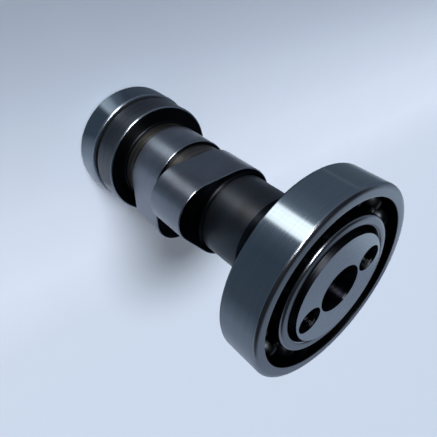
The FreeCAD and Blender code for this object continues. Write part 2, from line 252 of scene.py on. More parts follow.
# %% [markdown]
# ## The steels of this camshaft
#
# Rings, flange, cam lobes and nose are ground bright. The necks and the shaft between them were left
# as turned, and heat and oil have stained them brown and nearly black. One recipe with a few numbers
# makes all of these, so that they look like one family: tone and gloss are ranges that the lines
# wander through, and a stain is a second colour that lies in cloudy patches. A material painted by
# hand for each piece would look richer close up, but would not carry over to a changed shape.

# %% Recipe for ground and turned steel
LOW, HIGH = 0.3, 0.7  # nearly all values of a noise lie between these
CLOUD_SCALE = 110.0
GRIND_BUMP = 0.5
LINE_SHARE, CLOUD_SHARE = 0.6, 0.4
ACROSS_THE_LINES = 0.25


def ground_steel(name, tone, gloss, lines=3.0, depth=0.00001, anisotropy=1.0, stain=None,
                 stain_amount=(0.55, 0.75), rim=1.0, cloudy=0.0):
    """Steel with lines round Z. tone and gloss are (low, high) ranges, and stain is a colour that lies in
    patches. rim dims the mirroring at grazing angles, and cloudy blurs the lines' tone into clouds."""
    material, nodes, links, surface = new_material(name)
    place, turning, height = round_z(nodes, links)
    fine = noise(nodes, links, turning, lines, detail=6.0, rough=0.65, extra=height)
    cloud = noise(nodes, links, place, CLOUD_SCALE, detail=5.0, rough=0.55)
    shade = math_node(nodes, links, "ADD", math_node(nodes, links, "MULTIPLY", fine, 1 - cloudy),
                      math_node(nodes, links, "MULTIPLY", cloud, cloudy))
    colour = ramp(nodes, links, shade, [(LOW, tone[0]), (HIGH, tone[1])])
    if stain:
        patches = ramp(nodes, links, cloud, [(stain_amount[0], 0.0), (stain_amount[1], 1.0)])
        colour = mixed(nodes, links, patches, colour, stain)
    links.new(colour, surface.inputs["Base Color"])
    worn = math_node(nodes, links, "ADD", math_node(nodes, links, "MULTIPLY", fine, LINE_SHARE),
                     math_node(nodes, links, "MULTIPLY", cloud, CLOUD_SHARE))
    links.new(ramp(nodes, links, worn, [(LOW, gloss[0]), (HIGH, gloss[1])]), surface.inputs["Roughness"])
    bump = nodes.new("ShaderNodeBump")
    bump.inputs["Strength"].default_value = GRIND_BUMP
    bump.inputs["Distance"].default_value = depth
    links.new(fine, bump.inputs["Height"])
    links.new(bump.outputs[0], surface.inputs["Normal"])
    tangent = nodes.new("ShaderNodeTangent")
    tangent.direction_type = "RADIAL"
    tangent.axis = "Z"
    links.new(tangent.outputs[0], surface.inputs["Tangent"])
    surface.inputs["Metallic"].default_value = 1.0
    surface.inputs["Anisotropic"].default_value = anisotropy
    surface.inputs["Anisotropic Rotation"].default_value = ACROSS_THE_LINES
    surface.inputs["Specular Tint"].default_value = (rim, rim, rim, 1)
    return material


# %% [markdown]
# ## Bright steels
#
# These are the places that were ground or polished: the rings, their faces and edges, the cams, the
# flange and the nose. They differ in tone. The flat faces of the rings and the nose face are lighter
# than the round sides, which is painted light. The rounded edges are lighter and glossier, which is
# partly polish and partly painted highlight. The flange is darkest, since it runs against the
# cylinder head in old oil.

# %% Bright steels
ring_steel = ground_steel(
    "ring steel", ((0.20, 0.235, 0.265), (0.245, 0.285, 0.32)), (0.11, 0.17), anisotropy=0.4)
# flat ring faces: a lighter tone than the ring's sides, which is painted light
painted_light_face_steel = ground_steel(
    "ring face steel with painted light", ((0.26, 0.305, 0.345), (0.35, 0.405, 0.455)), (0.24, 0.32), anisotropy=0.2)
# rounded edges: lighter and glossier than the sides, partly polish and partly painted highlight
polished_edge_and_highlight_steel = ground_steel(
    "edge steel with painted highlight", ((0.24, 0.265, 0.30), (0.34, 0.37, 0.42)), (0.14, 0.22), anisotropy=0.2)
lobe_steel = ground_steel(
    "lobe steel", ((0.17, 0.185, 0.215), (0.23, 0.25, 0.285)), (0.28, 0.36), lines=2.0, anisotropy=0.5,
    stain=(0.15, 0.14, 0.15), stain_amount=(0.5, 0.8), cloudy=0.6)
flange_steel = ground_steel(
    "flange steel", ((0.065, 0.068, 0.076), (0.115, 0.12, 0.132)), (0.28, 0.36), anisotropy=0.1)
# nose face: a light tone that is painted light
painted_light_nose_steel = ground_steel(
    "nose steel with painted light", ((0.47, 0.55, 0.61), (0.58, 0.675, 0.74)), (0.24, 0.32), lines=4.0, anisotropy=0.2)
print("bright steels:", ring_steel.name, painted_light_face_steel.name, polished_edge_and_highlight_steel.name, lobe_steel.name)

# %% [markdown]
# ## Stained steels and steels with painted shade
#
# The necks keep the lines of the turning tool under a brown stain, and the shaft has gone nearly
# black. Races, corners, holes, the flat ends of the cams and the shaft under the large bearing get a
# near-black painted shade, and they hardly mirror at their rims. A lower base colour alone would still
# leave a bright rim, which is why rim is set too.

# %% Stained steels and steels with painted shade
shaft_steel = ground_steel(
    "shaft steel", ((0.052, 0.057, 0.066), (0.08, 0.087, 0.10)), (0.38, 0.48), lines=0.8, anisotropy=0.4,
    stain=(0.045, 0.04, 0.036), stain_amount=(0.5, 0.7), cloudy=0.75)
neck_steel = ground_steel(
    "neck steel", ((0.012, 0.011, 0.010), (0.20, 0.19, 0.175)), (0.34, 0.48), lines=3.2, depth=0.00012,
    anisotropy=0.5, stain=(0.06, 0.046, 0.035), stain_amount=(0.52, 0.8))
# near-black painted shade in the races and on the ring corners that face the small end
painted_shade_race_steel = ground_steel(
    "race steel with painted shade", ((0.015, 0.017, 0.02), (0.035, 0.038, 0.045)), (0.22, 0.34), anisotropy=0.3, rim=0.3)
# near-black painted shade on flat cam and flange ends, roundings, the nose's side and the shaft under the
# large bearing
painted_shade_steel = ground_steel(
    "steel with painted shade", ((0.008, 0.009, 0.011), (0.02, 0.022, 0.026)), (0.24, 0.36), lines=1.2,
    anisotropy=0.3, rim=0.2)
# near-black painted shade inside the tapped and drilled holes
painted_shade_hole_steel = ground_steel(
    "hole steel with painted shade", ((0.006, 0.007, 0.008), (0.03, 0.033, 0.038)), (0.20, 0.32), lines=5.0, rim=0.3)
painted_shade_bore_steel = ground_steel(
    "bored steel with painted shade", ((0.004, 0.004, 0.006), (0.115, 0.118, 0.165)), (0.16, 0.26), lines=5.0, depth=0.00002)
print("all ground and turned steels:", [m.name for m in bpy.data.materials if "steel" in m.name])


# %% [markdown]
# ## Polished balls and pressed sheet
#
# The balls are polished like mirrors, and the cages and rivets are dull pressed steel. The balls and
# the cages sit deep between the rings and get a near-black painted shade. None of them has lines
# round Z, so they get a simpler recipe, in which one cloudy noise steers the tone, the gloss and the
# bump together.

# %% Recipe for steel with no lines
CLOUD_BUMP = 0.4


def plain_metal(name, low, high, gloss, scale, depth):
    """A metal with no lines: its tone, gloss and bump follow one cloudy noise."""
    material, nodes, links, surface = new_material(name)
    place = nodes.new("ShaderNodeTexCoord").outputs["Object"]
    cloud = noise(nodes, links, place, scale, detail=5.0, rough=0.6)
    links.new(ramp(nodes, links, cloud, [(LOW, low), (HIGH, high)]), surface.inputs["Base Color"])
    links.new(ramp(nodes, links, cloud, [(LOW, gloss[0]), (HIGH, gloss[1])]), surface.inputs["Roughness"])
    bump = nodes.new("ShaderNodeBump")
    bump.inputs["Strength"].default_value = CLOUD_BUMP
    bump.inputs["Distance"].default_value = depth
    links.new(cloud, bump.inputs["Height"])
    links.new(bump.outputs[0], surface.inputs["Normal"])
    surface.inputs["Metallic"].default_value = 1.0
    return material


# near-black painted shade on the balls and the cage, deep between the rings
painted_shade_ball_steel = plain_metal(
    "ball steel with painted shade", (0.03, 0.033, 0.037), (0.05, 0.054, 0.06), (0.05, 0.10), scale=300.0, depth=0.000002)
painted_shade_sheet_steel = plain_metal(
    "sheet steel with painted shade", (0.012, 0.014, 0.016), (0.03, 0.033, 0.038), (0.25, 0.42), scale=700.0, depth=0.00001)
rivet_steel = plain_metal(
    "rivet steel", (0.20, 0.21, 0.23), (0.32, 0.34, 0.37), (0.28, 0.42), scale=900.0, depth=0.00001)
print("steels with no lines:", painted_shade_ball_steel.name, painted_shade_sheet_steel.name, rivet_steel.name)

# %% [markdown]
# ## The camshaft
#
# The real shaft is one piece of iron, turned between centres. Here it is one section, drawn as rows
# of (radius, height, rounding) in mm from the lathe centre in the small end, up the outside and down
# into the drilled hole in the nose, and then turned. Building it from separate discs would leave
# seams where the real one has rounded roots. The point at 54.3 lies on a straight side: it only
# gives the painted shade that starts there a straight border.

# %% Shaft section
SHAFT = [
    (0, 3.66, 0), (2, 0.2, 0), (8.5, 0.2, 0.5), (8.5, 7, 0), (10.2, 7, 0.1), (10.2, 7.86, 0.2),
    (14.5, 7.86, 0.5), (14.5, 14.8, 0.5), (10.4, 14.8, 0.6), (10.4, 20, 0), (10.35, 28.08, 0),
    (10.0, 28.08, 0.3), (10.0, 32.97, 0.3), (10.35, 32.97, 0), (10.35, 43.18, 0), (9.5, 43.18, 0.8),
    (9.5, 54.3, 0), (9.5, 61, 1.5), (13.6, 61, 0.2), (13.6, 62.5, 0), (12.49, 62.5, 0), (12.49, 71.46, 0.1),
    (11.69, 72.26, 0.1), (5.1, 72.26, 0), (4.8, 71.96, 0), (4.8, 58.26, 0), (0, 55.38, 0),
]
NOSE_TOP = 72.26
shaft_points = rounded(SHAFT)
camshaft = mesh_object("camshaft", lambda bm: turn_section(bm, shaft_points, TURN_STEPS, closed=False))
print("shaft faces:", len(camshaft.data.polygons))


# %% [markdown]
# ## Cam lobes
#
# A cam's outline is a large base circle and a small nose circle joined by two straight flanks that
# touch both. The cams are prisms made from that outline, and Boolean modifiers join them to the
# shaft, since modelling it all as one mesh by hand would leave no clean edge where a cam leaves its
# neck. The holes are cut last, just as on the real shaft.

# %% Cam outline and prism
BASE, NOSE, OFFSET = 10.83, 7.14, 8.64
TIP_STEPS, BACK_STEPS = 40, 140
CAM_EDGE = 0.3


def cam_outline(inset):
    """The cam outline moved inwards by inset, nose towards +X."""
    flank = math.degrees(math.acos((BASE - NOSE) / OFFSET))
    tip = arc((OFFSET, 0), NOSE - inset, -flank, flank, TIP_STEPS)
    back = arc((0, 0), BASE - inset, flank, 360 - flank, BACK_STEPS)
    return tip + back


def cam_prism(bm, bottom, top):
    """A cam between two heights. Its edges are rounded by rows of outline that move in near the face."""
    levels = []
    for i in range(ARC_STEPS + 1):
        turn = math.radians(90 * i / ARC_STEPS)
        levels.append((bottom + CAM_EDGE * (1 - math.sin(turn)), CAM_EDGE * (1 - math.cos(turn))))
    levels = levels[::-1] + [(top + bottom - level, inset) for level, inset in levels]
    rows = [[bm.verts.new((x, y, level)) for x, y in cam_outline(inset)] for level, inset in levels]
    for low, high in zip(rows, rows[1:]):
        for i in range(len(low)):
            j = (i + 1) % len(low)
            bm.faces.new((low[i], low[j], high[j], high[i]))
    bm.faces.new(rows[0][::-1])
    bm.faces.new(rows[-1])


def join_or_cut(piece, tool, operation):
    """Applies one exact Boolean and throws the tool away."""
    step = piece.modifiers.new(operation.lower(), "BOOLEAN")
    step.operation = operation
    step.solver = "EXACT"
    step.object = tool
    bpy.context.view_layer.update()
    graph = bpy.context.evaluated_depsgraph_get()
    mesh = bpy.data.meshes.new_from_object(piece.evaluated_get(graph), depsgraph=graph)
    piece.modifiers.clear()
    piece.data = mesh
    bpy.data.objects.remove(tool)


# %% Join both cams
CAMS = (("low_cam", 18.5, 28.1, 226.0), ("high_cam", 32.95, 43.2, 134.4))

for name, bottom, top, angle in CAMS:
    cam = mesh_object(name, lambda bm: cam_prism(bm, bottom, top))
    cam.data.transform(Matrix.Rotation(math.radians(angle), 4, "Z"))
    join_or_cut(camshaft, cam, "UNION")
    print(name, "joined, faces now:", len(camshaft.data.polygons))

# %% [markdown]
# ## Threaded holes
#
# The sprocket's two screws go into tapped holes in the nose. A tap leaves a spiral, so the tool that
# cuts the hole here is a column whose radius swings between the thread's inner and outer size, with
# the swing shifted a little for each step round, which draws the spiral. Its top flares to the
# countersunk mouth. A bump map could fake the thread, but its shadow lines need real depth.

# %% Thread cutter
PITCH, THREAD_IN, THREAD_OUT, MOUTH, THREAD_DEPTH = 0.8, 2.1, 2.5, 2.85, 9.5
THREAD_ROWS, THREAD_STEPS = 10, 48
FLANK_STEEPNESS = 2.4
DRILL_POINT = 1.26
TAPPED_AT = 8.33


def thread_plug(bm, across):
    """The tool for one tapped hole, its axis at x = across."""
    foot = NOSE_TOP - THREAD_DEPTH
    count = int(THREAD_DEPTH / PITCH * THREAD_ROWS) + 4
    rows = []
    for height in [foot + i * PITCH / THREAD_ROWS for i in range(count)]:
        row = []
        for step in range(THREAD_STEPS):
            phase = (height / PITCH - step / THREAD_STEPS) % 1.0
            swing = min(1.0, FLANK_STEEPNESS * abs(phase - 0.5))
            radius = max(THREAD_IN + (THREAD_OUT - THREAD_IN) * swing, MOUTH + height - NOSE_TOP)
            angle = 2 * math.pi * step / THREAD_STEPS
            row.append(bm.verts.new((across + radius * math.cos(angle), radius * math.sin(angle), height)))
        rows.append(row)
    point = bm.verts.new((across, 0, foot - DRILL_POINT))
    for step in range(THREAD_STEPS):
        after = (step + 1) % THREAD_STEPS
        bm.faces.new((point, rows[0][after], rows[0][step]))
        for low, high in zip(rows, rows[1:]):
            bm.faces.new((low[step], low[after], high[after], high[step]))
    bm.faces.new(rows[-1])


for side in (1, -1):
    plug = mesh_object("thread_plug", lambda bm: thread_plug(bm, side * TAPPED_AT))
    join_or_cut(camshaft, plug, "DIFFERENCE")
print("faces with both threads:", len(camshaft.data.polygons))

# %% [markdown]
# ## Bright, stained and painted-shade places on the shaft
#
# Each face gets its material from where its middle lies and which way it faces. The ground flange,
# cams and nose are bright, and the necks are stained. The holes, the flat ends of the cams and the
# flange, the roundings of the necks, the nose's side, the small end and the shaft under the large
# bearing get a near-black painted shade, and the nose face gets a light tone that is painted light.
# Painting these in by hand would allow softer borders, but would have to be done again each time the
# mesh changes.

# %% Put steels on faces
finish_mesh(camshaft)


def put_steels(piece, steels, choose):
    """Gives each face the steel that choose names for its middle and radius in mm, its normal and how far
    the normal points away from the axis."""
    piece.data.materials.clear()
    for steel in steels:
        piece.data.materials.append(steel)
    for face in piece.data.polygons:
        middle, normal = face.center / MM, face.normal
        radius = math.hypot(middle.x, middle.y)
        outward = (normal.x * middle.x + normal.y * middle.y) / max(radius, ON_AXIS)
        face.material_index = steels.index(choose(middle, radius, normal, outward))


# %% Steels of the camshaft
FLANGE_FOOT, FLANGE_TOP, FLANGE_FROM = 7.9, 14.9, 11.2
CAMS_FOOT, CAMS_TOP, CAMS_FROM = 18, 44, 10.45
NECKS_TOP, PAINTED_SHADE_FOOT, SHOULDER_FOOT = 35, 54.3, 61
HOLES_FOOT, BORE_WALL, BORE_MOUTH, TAPPED_MOUTH, NOSE_RIM = 50, 4.85, 5.2, 2.9, 12
FLAT_NOSE, FLAT_FLANGE, FLAT_CAM, CAM_ROUNDING, NECK_ROUNDING, FACING_OUT = 0.99, 0.95, 0.98, 0.25, 0.12, 0.95


def shaft_steel_at(middle, radius, normal, outward):
    """What each place on the camshaft looks like. Heights and radii are in mm. The normal's Z tells flat
    faces, near 1, from round sides, near 0, and from the rounded edges between them."""
    steep = abs(normal.z)
    tapped = min(math.hypot(middle.x - across, middle.y) for across in (TAPPED_AT, -TAPPED_AT))
    # the holes get a near-black painted shade
    if middle.z > HOLES_FOOT and radius < BORE_WALL:
        return painted_shade_bore_steel
    if middle.z > HOLES_FOOT and normal.z < FLAT_NOSE and (radius < BORE_MOUTH or tapped < TAPPED_MOUTH):
        return painted_shade_hole_steel
    if middle.z > SHOULDER_FOOT:
        return painted_light_nose_steel if normal.z > FLAT_NOSE and radius < NOSE_RIM else painted_shade_steel
    # flange and cams: flat ends get painted shade, rounded edges a painted highlight
    if FLANGE_FOOT < middle.z < FLANGE_TOP and radius > FLANGE_FROM:
        if steep > FLAT_FLANGE:
            return painted_shade_steel
        return flange_steel if outward > FACING_OUT else polished_edge_and_highlight_steel
    if CAMS_FOOT < middle.z < CAMS_TOP and radius > CAMS_FROM:
        if steep > FLAT_CAM:
            return painted_shade_steel
        return polished_edge_and_highlight_steel if steep > CAM_ROUNDING else lobe_steel
    # roundings, the small end and the shaft under the large bearing: near-black painted shade
    if steep > NECK_ROUNDING or middle.z < FLANGE_FOOT or middle.z > PAINTED_SHADE_FOOT:
        return painted_shade_steel
    return neck_steel if middle.z < NECKS_TOP else shaft_steel


SHAFT_STEELS = [shaft_steel, neck_steel, lobe_steel, flange_steel, painted_light_nose_steel, painted_shade_hole_steel, painted_shade_bore_steel,
                painted_shade_steel, polished_edge_and_highlight_steel]
put_steels(camshaft, SHAFT_STEELS, shaft_steel_at)
settle(camshaft, "camshaft", "camshaft_iron", "camshaft")


# %% [markdown]
# ## Bearing rings
#
# A ball bearing is two rings with a round groove, the race, ground into each. The balls roll in the
# races, and 0.52 of the ball's diameter as groove radius is the usual size. Each ring is one turned
# section again, with the race as an arc in it and softly rounded outer corners, which pull the long
# thin highlight round the edge of the bearing.

# %% Sizes of both bearings
# lengths in mm: axial and radial give the outer corners, and middle is the height of the balls' centres
LARGE = {"name": "large", "bore": 25.0, "outside": 42.0, "width": 9.0, "ball": 4.76, "count": 13,
         "pitch": 33.5, "inner": 29.6, "outer": 36.74, "axial": 0.7, "radial": 1.1, "cage": 2.2,
         "sheet": 0.5, "rivet": 0.8, "middle": 67.0}
SMALL = {"name": "small", "bore": 17.0, "outside": 30.0, "width": 7.0, "ball": 3.97, "count": 10,
         "pitch": 23.5, "inner": 20.8, "outer": 26.2, "axial": 0.6, "radial": 0.6, "cage": 1.8,
         "sheet": 0.4, "rivet": 0.7, "middle": 3.5}
EDGE = 0.2
print("ball to ball along the pitch circle in mm:",
      [round(math.pi * size["pitch"] / size["count"], 2) for size in (LARGE, SMALL)])


# %% Race and corners
BALL_PLAY, RACE_TO_BALL = 0.01, 0.52
RACE_STEPS, CORNER_STEPS = 24, 8


def race(size, shoulder, side):
    """Arc of the race from one shoulder to the other. side is 1 for the outer ring and -1 for the inner."""
    groove = RACE_TO_BALL * size["ball"]
    centre = size["pitch"] / 2 + side * (size["ball"] / 2 + BALL_PLAY - groove)
    half = math.degrees(math.acos(abs(shoulder - centre) / groove))
    start = 0 if side > 0 else 180
    return arc((centre, 0), groove, start - half, start + half, RACE_STEPS)


def soft_corner(across, along, radial, axial):
    """Quarter of an ellipse that ends at across and along, from the flat face out to the side."""
    turns = [math.radians(90 - 90 * i / CORNER_STEPS) for i in range(CORNER_STEPS + 1)]
    return [Vector((across - radial + radial * math.cos(t), along - axial + axial * math.sin(t)))
            for t in turns]


# %% Steels of the rings
FLAT_RING, SIDE_OF_RING, SHADED_CORNER, SIDE_OF_RACE = 0.97, 0.97, -0.25, -0.85


def ring_steel_at(normal, away):
    """Ring steels by direction. away is 1 where a face looks away from the balls and -1 where it looks at
    them. The races and the corner that faces the small end get a near-black painted shade."""
    if abs(normal.z) > FLAT_RING:
        return painted_light_face_steel
    if away > SIDE_OF_RING:
        return ring_steel
    # the corner that faces the small end gets painted shade
    if away > 0 and normal.z < SHADED_CORNER:
        return painted_shade_race_steel
    return painted_shade_race_steel if away < SIDE_OF_RACE else polished_edge_and_highlight_steel


# %% Make the four rings
RING_STEELS = [ring_steel, painted_light_face_steel, polished_edge_and_highlight_steel, painted_shade_race_steel]
INNER_RADIAL, INNER_AXIAL = 0.7, 0.6


def ring_piece(size, side):
    """One ring of a bearing, ready in its place."""
    half = size["width"] / 2
    if side > 0:
        shoulder = size["outer"] / 2
        top = [Vector((shoulder, half - EDGE)), Vector((shoulder + EDGE * 0.3, half - EDGE * 0.3)),
               Vector((shoulder + EDGE, half))]
        top += soft_corner(size["outside"] / 2, half, size["radial"], size["axial"])
    else:
        shoulder = size["inner"] / 2
        top = soft_corner(shoulder, half, INNER_RADIAL, INNER_AXIAL)[::-1]
        bore_corner = soft_corner(size["bore"] / 2, half, size["axial"], size["axial"])
        top += [Vector((size["bore"] - p.x, p.y)) for p in bore_corner]
    groove = race(size, shoulder, side)
    if side < 0:
        groove = groove[::-1]
    bottom = [Vector((p.x, -p.y)) for p in reversed(top)]
    section = [Vector((p.x, p.y + size["middle"])) for p in groove + top + bottom]
    node = "%s_%s_ring" % (size["name"], "outer" if side > 0 else "inner")
    piece = mesh_object(node, lambda bm: turn_section(bm, section, TURN_STEPS))
    finish_mesh(piece, sharp=25.0)
    choose = lambda middle, radius, normal, outward: ring_steel_at(normal, outward * side)
    put_steels(piece, RING_STEELS, choose)
    settle(piece, node if side > 0 else "camshaft", "bearing_rings", node)


for size in (LARGE, SMALL):
    for side in (1, -1):
        ring_piece(size, side)


# %% [markdown]
# ## Balls
#
# Hard steel balls, lapped until they are round to a thousandth of a millimetre. An icosphere has
# faces of one size all over, while a UV sphere bunches them at its poles, which a mirror finish
# would show. All balls of a bearing are one mesh, since they travel together with their cage.

# %% Balls
def pitch_place(size, spacings):
    """A point on the circle of the ball centres, so many ball spacings round from +X."""
    angle = 2 * math.pi * spacings / size["count"]
    return Vector((size["pitch"] / 2 * math.cos(angle), size["pitch"] / 2 * math.sin(angle), size["middle"]))


def all_balls(bm, size):
    """Every ball of one bearing."""
    for i in range(size["count"]):
        place = Matrix.Translation(pitch_place(size, i))
        bmesh.ops.create_icosphere(bm, subdivisions=4, radius=size["ball"] / 2, matrix=place)


for size in (LARGE, SMALL):
    piece = mesh_object("%s_balls" % size["name"], lambda bm: all_balls(bm, size), painted_shade_ball_steel)
    finish_mesh(piece)
    replaced = ["%s_ball_%02d" % (size["name"], i + 1) for i in range(size["count"])]
    settle(piece, "%s_cage" % size["name"], "bearing_balls", *replaced)


# %% [markdown]
# ## Ribbon cages
#
# The cage keeps the balls apart. It is pressed from steel strip in two wavy halves: each has a bowl
# over every ball and a flat land between, and a rivet through each pair of lands holds the halves
# together. The strip's middle surface is laid out as a grid, across its width and along its waves,
# and the Solidify modifier gives it the thickness of the sheet. Both sides could be drawn as grids
# instead, but each bend would then have to be worked out twice. Subdivision rounds the bends.

# %% Line of the strip
POCKET_PLAY = 0.05
BEND_HEIGHT, BEND_REACH = 0.28, 0.2
BOWL_STEPS, LAND_STEPS, WIDTH_STEPS = 18, 4, 6


def wave(size, offset):
    """One pocket and the half lands beside it, as (distance along the pitch circle, height) pairs."""
    sheet, ball = size["sheet"], size["ball"] / 2
    bowl = math.sqrt((ball + POCKET_PLAY + sheet / 2) ** 2 - offset ** 2)
    low = math.degrees(math.asin((sheet / 2 + BEND_HEIGHT) / bowl))
    points = arc((0, 0), bowl, 180 - low, low, BOWL_STEPS)
    foot = bowl * math.cos(math.radians(low)) + BEND_REACH
    half = math.pi * size["pitch"] / size["count"] / 2
    land = [foot + (half - foot) * i / LAND_STEPS for i in range(LAND_STEPS + 1)]
    right = [Vector((t, sheet / 2)) for t in land]
    left = [Vector((-t, sheet / 2)) for t in reversed(land)]
    return left + points + right


# %% Cage halves
def cage_strip(bm, size, way):
    """The middle surface of one half. way is 1 for the half that faces the nose and -1 for the other."""
    across = [size["cage"] * (i / WIDTH_STEPS - 0.5) for i in range(WIDTH_STEPS + 1)]
    rows = []
    for offset in across:
        row = []
        for i in range(size["count"]):
            start = 2 * math.pi * i / size["count"]
            for distance, height in wave(size, offset)[:-1]:
                angle = start + distance / (size["pitch"] / 2)
                radius = size["pitch"] / 2 + offset
                row.append(bm.verts.new((radius * math.cos(angle), radius * math.sin(angle),
                                         size["middle"] + way * height)))
        rows.append(row)
    for low, high in zip(rows, rows[1:]):
        for i in range(len(low)):
            j = (i + 1) % len(low)
            bm.faces.new((low[i], low[j], high[j], high[i]))


def cage_half(size, word, way):
    """One half of a cage with the thickness of its sheet."""
    node = "%s_cage_%s" % (size["name"], word)
    piece = mesh_object(node, lambda bm: cage_strip(bm, size, way), painted_shade_sheet_steel)
    thick = piece.modifiers.new("sheet", "SOLIDIFY")
    thick.thickness = size["sheet"] * MM
    thick.offset = 0
    soft = piece.modifiers.new("bends", "SUBSURF")
    soft.levels = soft.render_levels = 1
    bpy.context.view_layer.update()
    finish_mesh(piece, sharp=50.0)
    settle(piece, "%s_cage" % size["name"], "cage_sheet", node)


for size in (LARGE, SMALL):
    cage_half(size, "front", 1)
    cage_half(size, "back", -1)


# %% [markdown]
# ## Rivets
#
# Each rivet is a short pin whose ends were pressed into low domes. The section of one rivet is
# turned round its own axis and moved to its place between two balls. A bought-in fastener model
# would carry far more faces than a head under 2 mm can show.

# %% Rivets
HEAD_RATIO, RIVET_STEPS = 1.8, 24
HEAD_STEPS = ((0.0, 1.55), (0.45, 1.5), (0.8, 1.32), (1.0, 1.0))  # shares of head radius and of sheet


def all_rivets(bm, size):
    """Every rivet of one cage."""
    shank, sheet = size["rivet"] / 2, size["sheet"]
    section = [Vector((shank * HEAD_RATIO * out, sheet * up)) for out, up in HEAD_STEPS]
    section.append(Vector((shank, sheet)))
    section += [Vector((p.x, -p.y)) for p in reversed(section)]
    for i in range(size["count"]):
        before = set(bm.verts)
        turn_section(bm, section, RIVET_STEPS, closed=False)
        made = [v for v in bm.verts if v not in before]
        bmesh.ops.translate(bm, vec=pitch_place(size, i + 0.5), verts=made)


for size in (LARGE, SMALL):
    node = "%s_cage_rivets" % size["name"]
    piece = mesh_object(node, lambda bm: all_rivets(bm, size), rivet_steel)
    finish_mesh(piece, sharp=40.0)
    settle(piece, "%s_cage" % size["name"], "cage_rivets", node)

# %% [markdown]
# ## Floor
#
# The ground is a plain pale sheet, cool in colour, with one wide soft painted shade across it. It is
# several metres wide, because the upper corner of the view looks far across it. The painted shade
# stands in for a lamp's falloff, and a colour ramp across the sheet keeps it in place whatever the
# lamps do.

# %% Floor
FLOOR_HALF = 4.0
PALE_BLUE, PAINTED_SHADE_TONE = (0.60, 0.69, 0.84), (0.30, 0.355, 0.445)
PAINTED_FLOOR_SHADE = [
    (0.0, PALE_BLUE), (0.133, (0.61, 0.70, 0.84)), (0.217, (0.68, 0.765, 0.92)),
    (0.293, (0.63, 0.71, 0.86)), (0.333, (0.56, 0.64, 0.78)), (0.367, (0.50, 0.58, 0.71)),
    (0.393, (0.435, 0.505, 0.63)), (0.421, (0.38, 0.44, 0.55)), (0.46, PAINTED_SHADE_TONE), (0.56, PAINTED_SHADE_TONE),
    (0.75, (0.48, 0.55, 0.67)), (1.0, PALE_BLUE)]
SHADE_RUNS = (0.375, 0.927, 0)
SHADES_A_METRE, SHADE_AT_PART = 3.333, 0.333
FIBRE_SCALE, FIBRE_SHARE, FIBRE_TONE = 60.0, 0.12, (0.5, 0.55, 0.6)

floor_mesh = bpy.data.meshes.new("floor")
bm = bmesh.new()
bmesh.ops.create_grid(bm, x_segments=8, y_segments=8, size=FLOOR_HALF)
bm.to_mesh(floor_mesh)
bm.free()
floor = bpy.data.objects.new("floor", floor_mesh)
bpy.context.scene.collection.objects.link(floor)
print("floor in metres:", round(floor.dimensions.x, 2), "square")

# %% Pale paper
paper, nodes, links, surface = new_material("pale paper")
place = nodes.new("ShaderNodeTexCoord").outputs["Object"]
fibre = noise(nodes, links, place, FIBRE_SCALE, detail=4.0, rough=0.6)
toward = nodes.new("ShaderNodeVectorMath")
toward.operation = "DOT_PRODUCT"
toward.inputs[1].default_value = SHADE_RUNS
links.new(place, toward.inputs[0])
spread = math_node(nodes, links, "MULTIPLY", toward.outputs["Value"], SHADES_A_METRE)
spread = math_node(nodes, links, "ADD", spread, SHADE_AT_PART)
# painted shade across the floor, standing in for a lamp's falloff
shade = ramp(nodes, links, spread, PAINTED_FLOOR_SHADE)
faint = math_node(nodes, links, "MULTIPLY", fibre, FIBRE_SHARE)
links.new(mixed(nodes, links, faint, shade, FIBRE_TONE), surface.inputs["Base Color"])
surface.inputs["Roughness"].default_value = 0.9
surface.inputs["Specular IOR Level"].default_value = 0.1
floor_mesh.materials.append(paper)
print("shades in the paper:", len(PAINTED_FLOOR_SHADE))

# %% [markdown]
# ## Cards for the reflections
#
# Steel shows what it mirrors far more than how it is lit, so a photographer lays grey and white cards
# round it. These do the same. Each lies on the floor as part of a ring round the shaft, just where
# one of its surfaces mirrors, and shades from light to dark with the direction. Only reflections see
# them. Lamps could draw the same bands, but they would light the floor too, and a card's tone can be
# read off and changed at any direction. Angles are in degrees from +X.

# %% How a card is made
CARD_STEPS = 48
DARK, DUSK, DIM = (0.11, 0.146, 0.197), (0.15, 0.185, 0.24), (0.26, 0.32, 0.40)
SOFT, PALE = (0.42, 0.49, 0.60), (0.56, 0.64, 0.77)
BLACK, LESS, BRIGHT = (0.02, 0.02, 0.02), (3.2, 3.25, 3.2), (4.8, 4.8, 4.7)


def card_mesh(name, path, first, last):
    """A sheet from one direction to another. path gives its section as (radius, height) in mm."""
    bm = bmesh.new()
    rows = []
    for radius, height in path:
        row = []
        for step in range(CARD_STEPS + 1):
            angle = math.radians(first + (last - first) * step / CARD_STEPS)
            across, deep = radius * math.cos(angle), radius * math.sin(angle)
            row.append(bm.verts.new((across * MM, deep * MM, height * MM)))
        rows.append(row)
    for low, high in zip(rows, rows[1:]):
        for i in range(CARD_STEPS):
            bm.faces.new((low[i], low[i + 1], high[i + 1], high[i]))
    mesh = bpy.data.meshes.new(name)
    bm.to_mesh(mesh)
    bm.free()
    return mesh


